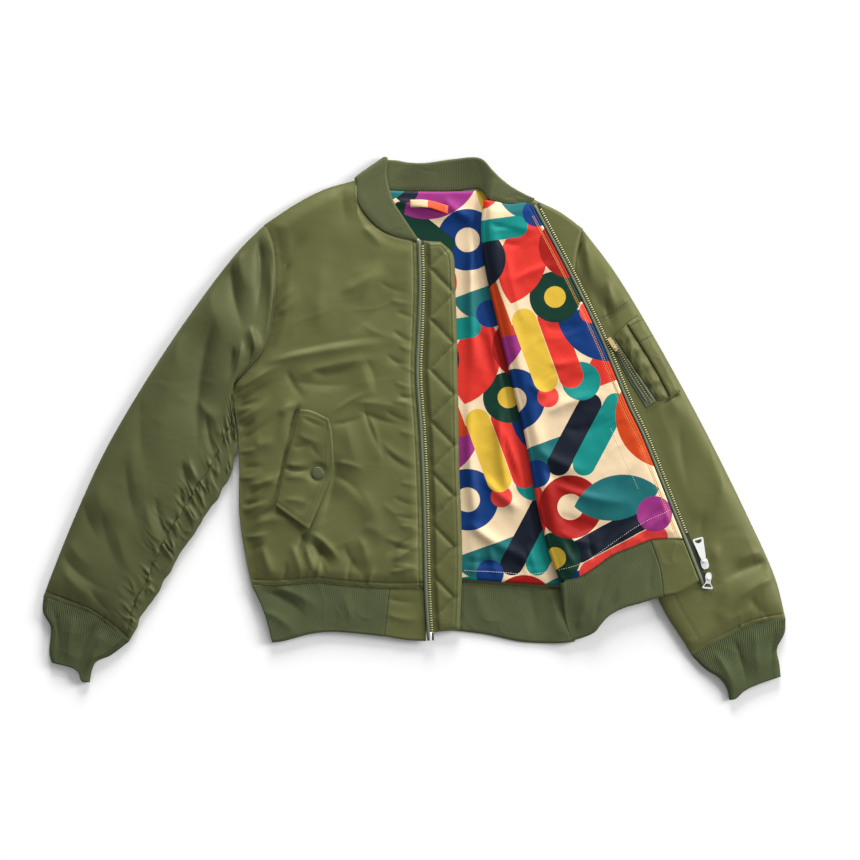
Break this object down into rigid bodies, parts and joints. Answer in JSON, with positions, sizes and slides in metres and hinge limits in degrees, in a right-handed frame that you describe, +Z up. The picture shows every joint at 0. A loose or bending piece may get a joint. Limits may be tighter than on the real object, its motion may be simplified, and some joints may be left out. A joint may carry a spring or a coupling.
{
  "type": "bomber jacket",
  "caption": "Olive padded nylon bomber jacket laid flat, rib collar, cuffs and waistband, left front turned open over its sleeve to show a printed lining.",
  "frame": {"origin": "middle of the outline's box, on the plane that the jacket lies on", "axes": "+X from the wearer's right sleeve to the left one, +Y from the hem to the collar, +Z up from the surface towards the viewer"},
  "size_m": [0.966, 0.7086, 0.0206],
  "materials": {
    "padded_nylon": "satin nylon twill over wadding",
    "rib_knit": "matte rib knit",
    "printed_lining": "smooth printed lining",
    "plain_nylon": "satin nylon twill",
    "zip_tape": "woven tape",
    "zip_metal": "bright nickel plate",
    "brass": "aged brass",
    "enamelled_metal": "satin enamel"
  },
  "bodies": {
    "jacket": {"back_shell": "padded_nylon", "front_right_shell": "padded_nylon", "front_left_shell": "padded_nylon", "sleeve_right_top": "padded_nylon", "sleeve_right_under": "padded_nylon", "sleeve_left_top": "padded_nylon", "sleeve_left_under": "padded_nylon", "back_lining": "printed_lining", "front_left_lining": "printed_lining", "hanger_loop": "printed_lining", "collar": "rib_knit", "cuff_right": "rib_knit", "cuff_left": "rib_knit", "waistband_back": "rib_knit", "waistband_right": "rib_knit", "waistband_left": "rib_knit", "waist_tab_right": "plain_nylon", "waist_tab_left": "plain_nylon", "storm_flap": "padded_nylon", "pocket_flap_right": "plain_nylon", "sleeve_pocket": "plain_nylon", "pen_pocket": "plain_nylon", "zip_tape_right": "zip_tape", "zip_tape_left": "zip_tape", "sleeve_pocket_tape": "zip_tape", "zip_pin_right": "zip_metal", "zip_slider_upper": "zip_metal", "zip_slider_lower": "zip_metal", "sleeve_pocket_slider": "brass", "snap_cap_right": "enamelled_metal"},
    "upper_pull": {"zip_pull_upper": "zip_metal"},
    "lower_pull": {"zip_pull_lower": "zip_metal"},
    "pocket_pull": {"sleeve_pocket_pull": "brass"}
  },
  "joints": [
    {"name": "upper_pull_hinge", "type": "hinge", "parent": "jacket", "child": "upper_pull", "pos_m": [0.3756, -0.17268, 0.0177], "axis": [0.9636, 0.2672, 0], "range_deg": [0, 135]},
    {"name": "lower_pull_hinge", "type": "hinge", "parent": "jacket", "child": "lower_pull", "pos_m": [0.3812, -0.19518, 0.0177], "axis": [-0.9962, 0.0872, 0], "range_deg": [0, 120]},
    {"name": "pocket_pull_hinge", "type": "hinge", "parent": "jacket", "child": "pocket_pull", "pos_m": [0.2598, 0.10412, 0.0181], "axis": [0.848, 0.5299, 0], "range_deg": [0, 150]}
  ]
}
